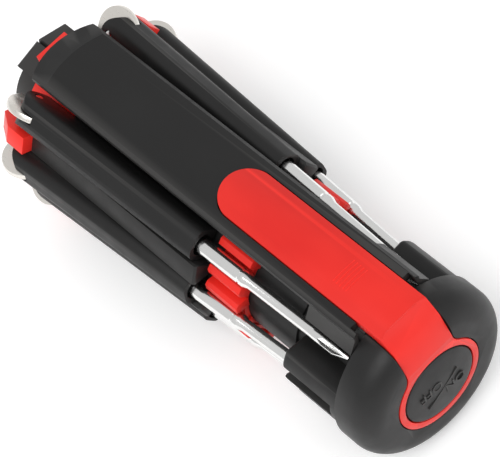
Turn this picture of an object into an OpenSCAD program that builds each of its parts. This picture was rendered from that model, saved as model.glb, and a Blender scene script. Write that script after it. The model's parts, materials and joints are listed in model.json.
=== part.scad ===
// Pocket screwdriver: eight fold-out drivers round a battery body with a lamp.
// X runs along the tool, lamp end at +X; Z is up through the flat top cover.

/* [Overall] */
// Length from the tail button to the lamp crown
body_len = 134; // [130:1:142]
// Diameter of the round rear cap
cap_d = 43; // [42:0.2:45]
// Angle from the top to the first driver on each side
first_angle = 43.15; // [42.5:0.05:44.5]

/* [Drivers] */
// Distance from the tool axis to the hinge pins
pivot_r = 20.3; // [20.2:0.1:21.4]
// Width of a handle
handle_w = 8; // [7.2:0.1:8.1]
// Diameter of the thick part of a shaft
shaft_d = 4; // [3.4:0.1:4.2]
// Diameter of the thin part of a shaft
tip_d = 3; // [2.6:0.1:3.2]
// Width of the widest flat blade
blade_w = 5; // [4.4:0.1:5.4]
// Thickness of the steel pivot plates
plate_t = 1.6; // [1.2:0.1:1.8]
// Diameter of a hinge pin
pin_d = 2.2; // [1.8:0.1:3]

/* [Cover and door] */
// Width of the top cover
cover_w = 19.8; // [19.2:0.1:20.4]
// Width of the battery door
door_w = 13.6; // [13:0.1:13.8]

/* [Button and lamp] */
// Diameter of the tail button
button_d = 20.1; // [18:0.1:20.5]
// Press travel of the tail button
button_travel = 1.2; // [0.8:0.1:1.4]
// Diameter of the lamp window
window_d = 20; // [18:0.2:21]

/* [Hidden] */
$fn = 48;
soft_fn = 96;
arm_count = 8;
gap_count = arm_count - 1;
arm_pitch = (360 - 2 * first_angle) / gap_count;
overcut = 1;
seat_gap = 0.1;
slide_gap = 0.3;

// stations along the tool, counted forward from the button face
lamp_len = 15;
hub_tail = 7.5;
fin_tail = 2.8;
fin_reach = 8;
floor_reach = 1;
collar_reach = 14.5;
door_overlap = 2.5;
cover_reach = 6;
corner_reach = 2.5;
crease_back = 1;
crease_edge_back = 3.2;
pivot_s = body_len - lamp_len;
hub_rear_s = pivot_s - hub_tail;
fin_rear_s = pivot_s - fin_tail;
hub_floor_s = pivot_s + floor_reach;
fin_front_s = pivot_s + fin_reach;
handle_len = 0.44 * body_len;
mouth_s = pivot_s - handle_len;
cap_rear_s = 1;
cap_rim_s = 11.4;
petal_front_s = 29;
tip_s = 14.3;
collar_s = mouth_s - collar_reach;
door_tip_s = mouth_s + door_overlap;
cover_rear_s = cap_rim_s + 0.4;
cover_front_s = pivot_s + cover_reach;
cover_corner_s = pivot_s + corner_reach;
cover_crease_s = pivot_s - crease_back;
crease_edge_s = pivot_s - crease_edge_back;
cheek_front_s = 26;

// folded driver, measured from its hinge
arm_tilt = 3;
handle_top = 5.4;
handle_low_nose = 4.2;
handle_low_mouth = 1.3;
handle_round_r = 7;
handle_inner_w = handle_w - 2;
handle_flank_z = 1;
nose_r = 5.6;
nose_back = 3.1;
nose_z = 0.1;
shaft_z = 2;
shaft_root = 8.6;
mouth_recess = 1.5;
plate_r = 6.7;
plate_low = 8;
tongue_back = pivot_s - fin_rear_s;
tongue_front = 4.2;
pin_clear = 0.05;
slot_t = plate_t + 2 * slide_gap;
slot_r = plate_r + slide_gap;
pin_len = handle_w - 0.6;

// core, ribs, fins and petals, measured from the tool axis
core_clear = 5.5;
core_step = 0.8;
hub_step = 0.6;
crown_step = 2.2;
crown_wall = 1.4;
core_r = pivot_r - core_clear;
core_rear_r = core_r - core_step;
hub_r = core_r - hub_step;
crown_r = hub_r - crown_step;
lamp_r = crown_r - crown_wall;
ridge_half = 4.5;
rib_root_half = 1.2;
rib_half = 2.6;
rib_root_r = core_r + 1.2;
rib_rise = 1;
rib_top_r = pivot_r + rib_rise;
rib_front_low = core_r + 0.4;
rib_undercut_s = hub_rear_s - 0.6;
rib_rear_s = mouth_s - 2;
rib_slope = 2.5;
fin_root_half = 0.9;
fin_half = 2.4;
fin_root_r = hub_r + 0.1;
fin_rise = 3.9;
fin_top_r = pivot_r + fin_rise;
fin_slope_len = 5;
fin_slope_drop = 3;
lug_r = hub_r + 1.3;
lug_root_r = crown_r - 1;
lug_bevel = 0.8;
lug_setback = 0.4;
lug_angle = 0.36 * first_angle;
lug_w = 7.6;
cap_r = cap_d / 2;
cap_round = 6;
petal_r = 9.3;
petal_sink = 0.4;
petal_mid = cap_r - petal_sink - petal_r;
petal_half = 5.9;
petal_root_r = core_rear_r - 2;
petal_slot = tip_d + 0.9;
rack_r = core_r + 1.2;
rack_inset = 0.6;
prong_t = 2.8;
prong_sink = 1.7;
prong_top_r = pivot_r - prong_sink;
prong_bevel = 0.8;
prong_lead = 0.4;
prong_inset = 0.5;
prong_recess = 3.5;

// cover, tower and door heights above the tool axis
cover_top = 22.6;
cover_under = 20.2;
cover_edge = 0.9;
cover_slope = 3.75;
door_top = 23.8;
door_under = cover_under + 0.2;
tower_half = 7.2;
flange_half = cover_w / 2 - 1.5;
flange_low = 17.5;
cheek_reach = 2.2;
cheek_low = 17.4;
cheek_t = 1.6;
notch = 2;

// door neck over the cap shoulder and ring round the button
ring_w = 1.6;
ring_rear_s = 0.9;
ring_t = 1.6;
neck_t = 2;
neck_round = 5;
neck_stop = 4;
neck_steps = 6;
crease_s = 6.7;
crease_drop = 0.6;
shoulder_s = 3.2;
shoulder_z = 19.4;
shoulder_wall = 1.4;
crease_wall = 1.6;
foot_z = 12.5;
foot_wall = 0.6;

// cells, lamp and switch
cell_d = 10.5;
cell_len = 44.5;
cell_nub = 1;
nub_d = 3.8;
cell_pitch = cell_d + seat_gap;
cell_low_z = -6.6;
contact_t = 0.5;
spring_len = 1.9;
bay_half = cell_d / 2 + 0.35;
bay_low = cell_low_z - cell_d / 2 - 0.2;
bay_wall = 2.8;
bay_rear_s = cap_rim_s + bay_wall;
bay_front_s = bay_rear_s + 2 * contact_t + spring_len + cell_len + 2 * seat_gap;
wire_r = 5.6;
led_count = 6;
led_d = 5;
led_inset = 4.2;
led_ring_r = lamp_r - led_inset;
board_t = 1.2;
lens_t = 1.6;
lip_t = 1.6;
lens_rear_s = body_len - lip_t - lens_t;
screw_d = 2.4;
screw_head_d = 4.4;
screw_head_t = 1.6;
screw_grip = 5;
screw_inset = 5.6;
screw_ring_r = hub_r - screw_inset;
button_flange = 0.9;
button_dome = 0.7;
flange_depth = 2.6;
flange_t = 1.4;
plunger_len = 1.2;
flange_rear_s = cap_rear_s + flange_depth;
flange_front_s = flange_rear_s + flange_t;
plunger_front_s = flange_front_s + plunger_len;
plunger_r = 2.5;
switch_r = 6;
blade_len = 12;
blade_step = 0.3;
point_len = 12;
point_swell = 0.4;
point_d = tip_d + point_swell;

// the tool lies on the two lowest pivot plates
low_angle = 180 - (first_angle + 3 * arm_pitch);
axis_z = (pivot_r + plate_r) * cos(low_angle) + plate_t / 2 * sin(low_angle);

black = [0.22, 0.22, 0.22];
red = [0.9, 0.2, 0.16];
steel = [0.8, 0.8, 0.79];
nickel = [0.82, 0.8, 0.77];

// drivers 1 to 4 go round the +Y side from the top, 5 to 8 round the -Y side
function arm_angle(i) = i <= 4 ? first_angle + (i - 1) * arm_pitch : -first_angle - (i - 5) * arm_pitch;
function gap_angle(j) = first_angle + (j - 0.5) * arm_pitch;
function flat_width(i) = blade_w - blade_step * (i - 2);
function is_flat_blade(i) = i % 2 == 0;
function is_beside_cover(i) = i % 4 == 1;
function arc_radius(half, rise) = (pow(half, 2) + pow(rise, 2)) / (2 * rise);

// x counts stations from the button face, z is measured from the tool axis
module along_tool() {
    translate([-body_len / 2, 0, axis_z]) children();
}

// turned about the tool axis so that z points outward at the given angle from the top
module facing(angle) {
    along_tool() rotate([-angle, 0, 0]) children();
}

// local frame of a hinge: y on the pin, z outward
module at_pivot(i) {
    facing(arm_angle(i)) translate([pivot_s, 0, pivot_r]) children();
}

// local frame of a folded driver, which runs along -x
module at_arm(i) {
    at_pivot(i) rotate([0, -arm_tilt, 0]) children();
}

// the child's z axis becomes the tool axis, its z value a station
module about_axis() {
    along_tool() rotate([0, 90, 0]) children();
}

// round disc about the tool axis between two stations
module disc(s0, s1, r) {
    translate([0, 0, s0]) cylinder(h = s1 - s0, r = r, $fn = soft_fn);
}

// a rod or cone along x between two places
module rod(x0, x1, d0, d1) {
    translate([x0, 0, 0]) rotate([0, 90, 0]) cylinder(h = x1 - x0, d1 = d0, d2 = d1);
}

// a round pin along y, spread evenly to both sides of y = 0
module cross_pin(width, d) {
    rotate([90, 0, 0]) cylinder(h = width, d = d, center = true, $fn = soft_fn);
}

// a side outline in x and z, spread evenly to both sides of y = 0
module side_slab(width) {
    translate([0, width / 2, 0]) rotate([90, 0, 0]) linear_extrude(height = width) children();
}

// a cross-section in y and z, drawn out along x
module drawn(x0, x1) {
    translate([x0, 0, 0]) rotate([90, 0, 90]) linear_extrude(height = x1 - x0) children();
}

// a box between two places along x and two heights, even to both sides of y = 0
module bar(x0, x1, half_y, z0, z1) {
    translate([x0, -half_y, z0]) cube([x1 - x0, 2 * half_y, z1 - z0]);
}

// cross-section of a wedge that is narrow at the root and wide at the top
module wedge(foot_r, root_half, root_r, top_half, top_r) {
    polygon([[-root_half, foot_r], [root_half, foot_r], [root_half, root_r],
        [top_half, pivot_r], [top_half, top_r], [-top_half, top_r], [-top_half, pivot_r],
        [-root_half, root_r]]);
}

// black body with the battery bay, the ribs between the handles and the tower under the cover
module core_body() {
    color(black) difference() {
        union() {
            about_axis() {
                disc(cap_rim_s, hub_rear_s, core_rear_r);
                disc(petal_front_s + 2, hub_rear_s, core_r);
            }
            for (j = [1:gap_count]) facing(gap_angle(j)) difference() {
                drawn(rib_rear_s, fin_rear_s)
                    wedge(core_r - overcut, rib_root_half, rib_root_r, rib_half, rib_top_r);
                bar(rib_undercut_s, body_len, handle_w, 0, rib_front_low);
                side_slab(2 * handle_w) polygon([[rib_rear_s - overcut, rib_top_r - rib_slope + overcut],
                    [rib_rear_s - overcut, rib_top_r + overcut],
                    [rib_rear_s - overcut + rib_slope, rib_top_r + overcut]]);
            }
            along_tool() {
                bar(cover_rear_s, hub_rear_s, tower_half, 0, cover_under);
                bar(cheek_front_s + seat_gap, hub_rear_s, flange_half, flange_low, cover_under);
            }
        }
        along_tool() bar(bay_rear_s, bay_front_s, bay_half, bay_low, cover_under + overcut);
        about_axis() {
            disc(bay_front_s - overcut, body_len, wire_r);
            screw_places() translate([0, 0, hub_rear_s - screw_grip]) cylinder(h = body_len, d = screw_d);
        }
    }
}

// places of the screws that hold the hub on the core
module screw_places() {
    for (k = [0:2]) rotate([0, 0, 60 + 120 * k]) translate([screw_ring_r, 0, 0]) children();
}

// door outline seen from above, grown by a margin
module door_plan(margin) {
    half = door_w / 2 + margin;
    front = door_tip_s - door_w / 2;
    translate([front, 0]) circle(r = half, $fn = soft_fn);
    translate([0, -half]) square([front, 2 * half]);
}

// flat black cover, sloped at the lamp end, cut out for the door and with a cheek on each side of it
module top_cover() {
    half = cover_w / 2;
    front_r = arc_radius(half, cover_front_s - cover_corner_s);
    crease_r = arc_radius(half, cover_crease_s - crease_edge_s);
    crease_mid = cover_crease_s - crease_r;
    low = cover_under - overcut;
    high = cover_top + overcut;
    color(black) along_tool() difference() {
        union() {
            intersection() {
                translate([0, 0, cover_under]) linear_extrude(height = cover_top - cover_under) union() {
                    translate([cover_front_s - front_r, 0]) circle(r = front_r, $fn = soft_fn);
                    translate([cover_rear_s, -half])
                        square([cover_front_s - front_r - cover_rear_s, 2 * half]);
                }
                drawn(cover_rear_s, body_len) polygon([
                    [-half, cover_under], [half, cover_under], [half, cover_top - cover_edge],
                    [half - cover_edge, cover_top], [cover_edge - half, cover_top],
                    [-half, cover_top - cover_edge]]);
                union() {
                    translate([crease_mid, 0, low]) cylinder(h = high - low, $fn = soft_fn,
                        r1 = crease_r + cover_slope * (cover_top - low),
                        r2 = crease_r - cover_slope * overcut);
                    bar(0, crease_mid, cover_w, low, high);
                }
            }
            for (side = [-1, 1]) cheek(side);
        }
        translate([0, 0, low]) linear_extrude(height = cover_top) door_plan(slide_gap);
        bar(0, cover_rear_s + notch, door_w / 2 + notch, low, body_len);
    }
}

// slanted cheek beside the rear end of the door
module cheek(side) {
    edge = cover_w / 2;
    root_z = cover_under + overcut;
    drawn(cover_rear_s, cheek_front_s) polygon([
        [side * (edge - cheek_t), root_z], [side * (edge - cheek_t / 4), root_z],
        [side * (edge + cheek_reach), cheek_low],
        [side * (edge + cheek_reach - cheek_t), cheek_low - cheek_t / 2]]);
}

// red hub that carries the pivot plates, with a fin between neighbouring drivers
module front_hub() {
    color(red) difference() {
        union() {
            about_axis() disc(hub_rear_s, fin_front_s, hub_r);
            for (j = [1:gap_count]) facing(gap_angle(j)) intersection() {
                drawn(fin_rear_s, fin_front_s)
                    wedge(hub_r - overcut, fin_root_half, fin_root_r, fin_half, fin_top_r);
                side_slab(2 * handle_w) polygon([[fin_rear_s, 0], [fin_rear_s, fin_top_r],
                    [fin_front_s - fin_slope_len, fin_top_r], [fin_front_s, fin_top_r - fin_slope_drop],
                    [fin_front_s, 0]]);
            }
            along_tool() {
                bar(hub_rear_s, fin_front_s, ridge_half, 0, cover_under - overcut);
                bar(hub_rear_s, pivot_s, flange_half, flange_low, cover_under);
            }
        }
        about_axis() {
            disc(hub_floor_s, body_len, lamp_r + seat_gap);
            disc(0, body_len, screw_ring_r - screw_head_d);
            screw_places() {
                translate([0, 0, hub_rear_s - overcut]) cylinder(h = body_len, d = screw_d);
                translate([0, 0, hub_floor_s - screw_head_t]) cylinder(h = body_len, d = screw_head_d);
            }
        }
        for (i = [1:arm_count]) at_pivot(i) plate_shape();
    }
}

// three small screws between hub and core
module hub_screws() {
    color(steel) about_axis() screw_places() {
        translate([0, 0, hub_rear_s - screw_grip])
            cylinder(h = hub_floor_s - screw_head_t - hub_rear_s + screw_grip, d = screw_d);
        translate([0, 0, hub_floor_s - screw_head_t]) cylinder(h = screw_head_t, d = screw_head_d);
    }
}

// round end about the hinge pin and a tongue towards the tool axis
module plate_shape() {
    cross_pin(plate_t, 2 * plate_r);
    bar(-tongue_back, tongue_front, plate_t / 2, -plate_low, 0);
}

// steel plate held in the hub
module pivot_plate(i) {
    color(nickel) at_pivot(i) difference() {
        union() plate_shape();
        cross_pin(2 * plate_t, pin_d);
    }
}

// one pin through each pivot plate
module hinge_pins() {
    color(steel) for (i = [1:arm_count]) at_pivot(i) cross_pin(pin_len, pin_d);
}

// red half ring on the core with a pair of prongs for each shaft on its side
module clip_rack(first) {
    prong_rear = collar_s + prong_inset;
    prong_front = mouth_s - prong_recess;
    prong_in = shaft_d / 2 + slide_gap;
    prong_out = prong_in + prong_t;
    side = first == 1 ? 1 : -1;
    color(red) difference() {
        union() {
            about_axis() difference() {
                disc(prong_rear + rack_inset, prong_front - rack_inset, rack_r);
                disc(0, body_len, core_r);
            }
            for (i = [first:first + 3]) facing(arm_angle(i)) for (edge = [-1, 1])
                drawn(prong_rear, prong_front) polygon([
                    [edge * prong_in, core_r], [edge * prong_out, core_r],
                    [edge * prong_out, prong_top_r - prong_bevel],
                    [edge * (prong_out - prong_bevel), prong_top_r],
                    [edge * (prong_in + prong_lead), prong_top_r],
                    [edge * prong_in, prong_top_r - prong_bevel]]);
        }
        along_tool() {
            bar(0, body_len, tower_half + seat_gap, 0, cap_d);
            translate([0, -side * cap_d, -cap_d]) bar(0, body_len, cap_d + seat_gap / 2, 0, 2 * cap_d);
        }
    }
}

// underside of the door neck from the ring up to the plate, lowered by a margin
function neck_under(margin) = [[ring_rear_s + ring_t + margin, 0],
    [ring_rear_s + ring_t + margin, foot_z - foot_wall - margin],
    [shoulder_s + neck_t + margin, shoulder_z - shoulder_wall - margin],
    [crease_s + crease_wall + margin, door_under - margin], [cap_rim_s + overcut, door_under - margin]];

// the door neck seen from behind, with a round fillet on each side down to the ring, grown by a margin
module neck_plan(margin) {
    mid_y = door_w / 2 + neck_round;
    ring_r = button_d / 2 + slide_gap + ring_w;
    mid_z = sqrt(pow(ring_r + neck_round, 2) - pow(mid_y, 2));
    turn = (atan(mid_z / mid_y) - neck_stop) / neck_steps;
    arc = [for (k = [0:neck_steps]) [mid_y - (neck_round - margin) * cos(turn * k),
        mid_z - (neck_round - margin) * sin(turn * k)]];
    right = concat([[door_w / 2 + margin, cap_d]], arc, [0.8 * arc[neck_steps]]);
    polygon(concat(right, [for (k = [len(right) - 1:-1:0]) [-right[k][0], right[k][1]]]));
}

// side outline of the door neck
module neck_side() {
    polygon(concat([[cap_rim_s + overcut, door_top + overcut], [crease_s, door_top + overcut],
        [crease_s, door_top - crease_drop], [shoulder_s, shoulder_z], [ring_rear_s, foot_z],
        [ring_rear_s, 0]], neck_under(0)));
}

// round black cap with slotted petals round the driver tips
module rear_cap() {
    bore_r = button_d / 2 + slide_gap;
    color(black) difference() {
        union() {
            about_axis() rotate_extrude($fn = soft_fn) intersection() {
                union() {
                    translate([0, cap_rear_s]) square([cap_r - cap_round, cap_rim_s - cap_rear_s]);
                    translate([cap_r - cap_round, cap_rear_s + cap_round]) circle(r = cap_round);
                    translate([0, cap_rear_s + cap_round]) square([cap_r, cap_rim_s]);
                }
                square([cap_r, cap_rim_s]);
            }
            along_tool() drawn(cap_rim_s - overcut, petal_front_s) union() {
                for (i = [1:arm_count]) if (!is_beside_cover(i)) rotate(-arm_angle(i)) intersection() {
                    translate([0, petal_mid]) circle(r = petal_r, $fn = soft_fn);
                    translate([-petal_half, petal_root_r]) square([2 * petal_half, cap_r]);
                }
            }
        }
        for (i = [1:arm_count]) facing(arm_angle(i))
            bar(cap_rim_s + 2, body_len, petal_slot / 2, core_rear_r - overcut, cap_d);
        about_axis() {
            disc(0, cap_d, bore_r);
            disc(cap_rim_s, cap_d, core_rear_r + seat_gap);
            disc(flange_rear_s - slide_gap, cap_d, bore_r + button_flange);
            disc(0, ring_rear_s + ring_t + slide_gap, bore_r + ring_w + slide_gap);
        }
        along_tool() intersection() {
            side_slab(cap_d)
                polygon(concat([[cap_rim_s + overcut, cap_d], [0, cap_d], [0, 0]], neck_under(slide_gap)));
            drawn(-overcut, cap_d) neck_plan(slide_gap);
        }
    }
}

// round tail button, domed, with a flange behind the cap's rim
module tail_button() {
    dome_r = (pow(button_d / 2, 2) + pow(button_dome, 2)) / (2 * button_dome);
    color(black) about_axis() {
        intersection() {
            disc(0, flange_front_s, button_d / 2);
            translate([0, 0, dome_r]) sphere(r = dome_r, $fn = soft_fn);
        }
        disc(flange_rear_s, flange_front_s, button_d / 2 + button_flange);
        disc(flange_front_s - seat_gap, plunger_front_s, plunger_r);
    }
}

// push switch under the button, standing on the core
module switch_module() {
    color([0.3, 0.3, 0.32]) about_axis()
        disc(plunger_front_s + button_travel + slide_gap, cap_rim_s, switch_r);
}

// red battery door with the neck over the cap and the ring round the button
module battery_door() {
    bore_d = button_d + 2 * slide_gap;
    ring_d = bore_d + 2 * ring_w;
    color(red) along_tool() difference() {
        union() {
            intersection() {
                translate([0, 0, door_under]) linear_extrude(height = door_top) difference() {
                    door_plan(0);
                    translate([-overcut, -cap_d]) square([cap_rim_s + overcut, 2 * cap_d]);
                }
                rod(0, body_len, 2 * door_top, 2 * door_top, $fn = soft_fn);
            }
            intersection() {
                side_slab(cap_d) neck_side();
                drawn(0, cap_d) neck_plan(0);
                rod(0, body_len, 2 * door_top, 2 * door_top, $fn = soft_fn);
                bar(0, cap_rim_s + overcut / 2, cap_r, 0, cap_d);
            }
            rod(ring_rear_s, ring_rear_s + ring_t, ring_d, ring_d, $fn = soft_fn);
        }
        rod(0, cap_d, bore_d, bore_d, $fn = soft_fn);
    }
}

// black crown round the lamp, with two wide lugs in front of the cover
module lamp_bezel() {
    color(black) difference() {
        union() {
            about_axis() disc(fin_front_s, body_len, crown_r);
            for (side = [-1, 1]) facing(side * lug_angle) crown_lug();
        }
        about_axis() {
            disc(0, lens_rear_s + lens_t, lamp_r + seat_gap);
            disc(0, 2 * body_len, window_d / 2);
        }
    }
}

// flat-topped lug with a bevelled front edge
module crown_lug() {
    nose_s = body_len - lug_setback;
    side_slab(lug_w) polygon([[fin_front_s, lug_root_r], [fin_front_s, lug_r], [nose_s - lug_bevel, lug_r],
        [nose_s, lug_r - lug_bevel], [nose_s, lug_root_r]]);
}

// clear window held under the crown's lip
module lamp_lens() {
    color([0.85, 0.9, 0.95, 0.4]) about_axis() disc(lens_rear_s, lens_rear_s + lens_t, lamp_r);
}

// places of the lamps on their board
module led_places() {
    for (k = [0:led_count - 1]) rotate([0, 0, 360 / led_count * k]) translate([led_ring_r, 0, 0]) children();
}

// bright bowl with a hole for each lamp
module lamp_reflector() {
    floor_t = 1.4;
    bowl_rear = hub_floor_s + board_t + floor_t;
    bowl_front = lens_rear_s - seat_gap;
    color([0.85, 0.85, 0.86]) about_axis() difference() {
        rotate_extrude($fn = soft_fn) polygon([
            [0, bowl_rear], [lamp_r, bowl_rear], [lamp_r, bowl_front], [lamp_r - 0.6, bowl_front],
            [led_ring_r + led_d / 2 + 0.5, bowl_rear + floor_t], [0, bowl_rear + floor_t]]);
        led_places() translate([0, 0, bowl_rear - overcut]) cylinder(h = body_len, d = led_d + 2 * seat_gap);
    }
}

// round circuit board on the hub's floor
module led_board() {
    color([0.2, 0.4, 0.25]) about_axis() disc(hub_floor_s, hub_floor_s + board_t, lamp_r);
}

// round lamps standing on the board
module leds() {
    stem = lens_rear_s - seat_gap - led_d / 2 - hub_floor_s - board_t;
    color([0.9, 0.92, 0.95]) about_axis() led_places() translate([0, 0, hub_floor_s + board_t]) {
        cylinder(h = stem, d = led_d);
        translate([0, 0, stem]) intersection() {
            sphere(d = led_d);
            translate([0, 0, led_d / 2]) cube(led_d, center = true);
        }
    }
}

// one round cell with its contact nub, the middle one turned end for end
module battery_cell(k) {
    turned = k == 2;
    start = bay_rear_s + contact_t + spring_len + seat_gap;
    barrel = start + (turned ? cell_nub : 0);
    nub_start = turned ? start : start + cell_len - cell_nub;
    color([0.75, 0.75, 0.72]) along_tool() translate([0, 0, cell_low_z + (k - 1) * cell_pitch]) {
        rod(barrel, barrel + cell_len - cell_nub, cell_d, cell_d);
        rod(nub_start, nub_start + cell_nub, nub_d, nub_d);
    }
}

// contact plate at the lamp end of the bay
module front_contacts() {
    color(nickel) along_tool() bar(bay_front_s - contact_t, bay_front_s, bay_half, bay_low, cover_under - 1);
}

// contact plate at the button end of the bay
module rear_contacts() {
    color(nickel) along_tool() bar(bay_rear_s, bay_rear_s + contact_t, bay_half, bay_low, cover_under - 1);
}

// one short spring behind each cell
module contact_springs() {
    color(steel) along_tool() for (k = [0:2]) translate([0, 0, cell_low_z + k * cell_pitch])
        rod(bay_rear_s + contact_t, bay_rear_s + contact_t + spring_len, led_d, nub_d);
}

// black handle, round-nosed, split over the pivot plate and bored for pin and shaft
module arm_handle(i) {
    color(black) at_arm(i) difference() {
        intersection() {
            side_slab(2 * handle_w) union() {
                intersection() {
                    translate([-nose_back, nose_z]) circle(r = nose_r, $fn = soft_fn);
                    translate([-nose_back - overcut, -handle_low_nose]) square(3 * nose_r);
                }
                polygon([[-nose_back, nose_z + nose_r], [-handle_len, nose_z + nose_r],
                    [-handle_len, -handle_low_mouth], [-nose_back, -handle_low_nose]]);
            }
            drawn(-2 * handle_len, handle_len) polygon([
                [-handle_inner_w / 2, -handle_low_nose - overcut],
                [handle_inner_w / 2, -handle_low_nose - overcut],
                [handle_w / 2, handle_flank_z], [handle_w / 2, 2 * handle_top],
                [-handle_w / 2, 2 * handle_top], [-handle_w / 2, handle_flank_z]]);
            translate([0, 0, handle_top - handle_round_r])
                rod(-2 * handle_len, handle_len, 2 * handle_round_r, 2 * handle_round_r, $fn = soft_fn);
        }
        cross_pin(slot_t, 2 * slot_r);
        bar(0, handle_w, slot_t / 2, -slot_r, slot_r);
        cross_pin(2 * handle_w, pin_d + 2 * pin_clear);
        translate([0, 0, shaft_z]) {
            rod(-2 * handle_len, -shaft_root, shaft_d, shaft_d);
            rod(-2 * handle_len, mouth_recess - handle_len, shaft_d + 1.4, shaft_d + 1.4);
        }
    }
}

// steel shaft, thick in the handle and the clip, thin towards its tip
module driver_shaft(i) {
    thick_end = collar_s - pivot_s;
    thin_start = thick_end - 1.5;
    tip_end = tip_s - pivot_s;
    tip_len = is_flat_blade(i) ? blade_len : point_len;
    color(steel) at_arm(i) translate([0, 0, shaft_z]) {
        rod(thick_end, -shaft_root, shaft_d, shaft_d);
        rod(thin_start, thick_end, tip_d, shaft_d);
        rod(tip_end + tip_len, thin_start, tip_d, tip_d);
        if (is_flat_blade(i)) flat_blade(tip_end, tip_len, flat_width(i));
        else cross_point(tip_end, tip_len);
    }
}

// flat blade, wide along z and thinned to its end
module flat_blade(end, length, width) {
    thin = 0.8;
    flare = end + length * 0.45;
    root = end + length + overcut / 2;
    root_w = tip_d * 0.74;
    root_t = tip_d * 0.66;
    intersection() {
        side_slab(tip_d) polygon([[end, width / 2], [flare, width / 2], [root, root_w / 2],
            [root, -root_w / 2], [flare, -width / 2], [end, -width / 2]]);
        translate([0, 0, -width]) linear_extrude(height = 2 * width) polygon([
            [end, thin / 2], [root, root_t / 2], [root, -root_t / 2], [end, -thin / 2]]);
    }
}

// pointed tip with four flutes, a little thicker than the shaft
module cross_point(end, length) {
    flute = tip_d * 0.18;
    point = end + length * 0.3;
    swell = end + length * 0.8;
    difference() {
        union() {
            rod(end, point, 0.9, point_d);
            rod(point, swell, point_d, point_d);
            rod(swell, end + length, point_d, tip_d);
        }
        for (a = [45:90:315]) rotate([a, 0, 0]) translate([end - overcut, flute, flute])
            cube([length * 0.7 + overcut, point_d, point_d]);
    }
}

core_body();
top_cover();
front_hub();
hub_screws();
hinge_pins();
clip_rack(1);  // clip_rack_left
clip_rack(5);  // clip_rack_right
rear_cap();
lamp_bezel();
lamp_lens();
lamp_reflector();
led_board();
leds();
front_contacts();
rear_contacts();
contact_springs();
switch_module();
tail_button();
battery_door();
for (k = [1:3]) battery_cell(k);
for (i = [1:arm_count]) pivot_plate(i);
for (i = [1:arm_count]) arm_handle(i);
for (i = [1:arm_count]) driver_shaft(i);
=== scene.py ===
"""Looks of a pocket screwdriver: eight folding drivers round a battery body with a lamp and a tail switch."""
import json
import math

import bpy
from bpy.props import FloatProperty, FloatVectorProperty, PointerProperty
from mathutils import Matrix, Vector

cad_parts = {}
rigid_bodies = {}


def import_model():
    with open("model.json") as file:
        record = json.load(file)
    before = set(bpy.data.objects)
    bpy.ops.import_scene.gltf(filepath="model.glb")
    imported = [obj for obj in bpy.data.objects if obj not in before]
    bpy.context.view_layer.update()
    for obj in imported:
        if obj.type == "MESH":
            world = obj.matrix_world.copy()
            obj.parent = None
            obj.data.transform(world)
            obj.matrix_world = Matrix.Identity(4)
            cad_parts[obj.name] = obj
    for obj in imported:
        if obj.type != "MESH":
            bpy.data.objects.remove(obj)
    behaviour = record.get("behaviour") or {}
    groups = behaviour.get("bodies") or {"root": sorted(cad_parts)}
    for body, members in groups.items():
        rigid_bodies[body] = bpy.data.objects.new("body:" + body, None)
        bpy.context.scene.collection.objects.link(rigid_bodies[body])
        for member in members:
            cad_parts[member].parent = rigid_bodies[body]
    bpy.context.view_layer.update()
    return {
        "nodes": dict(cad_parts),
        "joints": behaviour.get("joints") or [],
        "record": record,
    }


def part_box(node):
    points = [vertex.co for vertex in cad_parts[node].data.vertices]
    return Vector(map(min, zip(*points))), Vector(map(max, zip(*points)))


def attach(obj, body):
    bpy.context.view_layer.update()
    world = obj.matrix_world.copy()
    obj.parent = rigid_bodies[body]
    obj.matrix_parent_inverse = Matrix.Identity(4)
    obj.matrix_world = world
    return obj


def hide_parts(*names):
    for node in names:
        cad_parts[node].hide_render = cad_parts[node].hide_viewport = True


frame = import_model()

bl_info = {
    "name": "Pocket screwdriver",
    "version": (1, 0, 0),
    "blender": (4, 5, 0),
    "location": "3D View > Sidebar > Screwdriver",
    "description": "Models the mouldings, steel drivers, cells and lamp of a folding screwdriver set",
    "category": "Object",
}

MM = 0.001
DRIVERS = range(1, 9)
AXIS_Z = sum(corner.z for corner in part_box("lamp_lens")) / 2
TAIL_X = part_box("tail_button")[0].x
HINGES = {joint["child"]: joint for joint in frame["joints"] if joint["type"] == "hinge"}


def length(label, note, value):
    """A size that a user may change, in metres."""
    return FloatProperty(name=label, description=note, default=value, unit="LENGTH", precision=5)


def colour(label, note, value):
    """A colour that a user may change."""
    return FloatVectorProperty(
        name=label, description=note, default=value, size=3, subtype="COLOR", min=0, max=1)


class FinishColours(bpy.types.PropertyGroup):
    """Colours of the plastics and metals."""
    black: colour("Black", "Charcoal of the black mouldings", (0.0095, 0.0093, 0.0093))
    # painted highlight: a lighter tone laid on the convex edges of the black mouldings
    black_edge_highlight: colour("Worn black", "Polished edges of the black mouldings", (0.034, 0.033, 0.032))
    red: colour("Red", "Main tone of the red mouldings", (0.73, 0.024, 0.016))
    red_deep: colour("Deep red", "Second tone of the red mouldings", (0.61, 0.014, 0.010))
    steel: colour("Steel", "Bright shafts", (0.82, 0.82, 0.81))
    nickel: colour("Nickel", "Pivot plates and contacts", (0.80, 0.77, 0.72))
    floor: colour("Floor", "Plain pale floor", (0.98, 0.98, 0.98))


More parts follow.
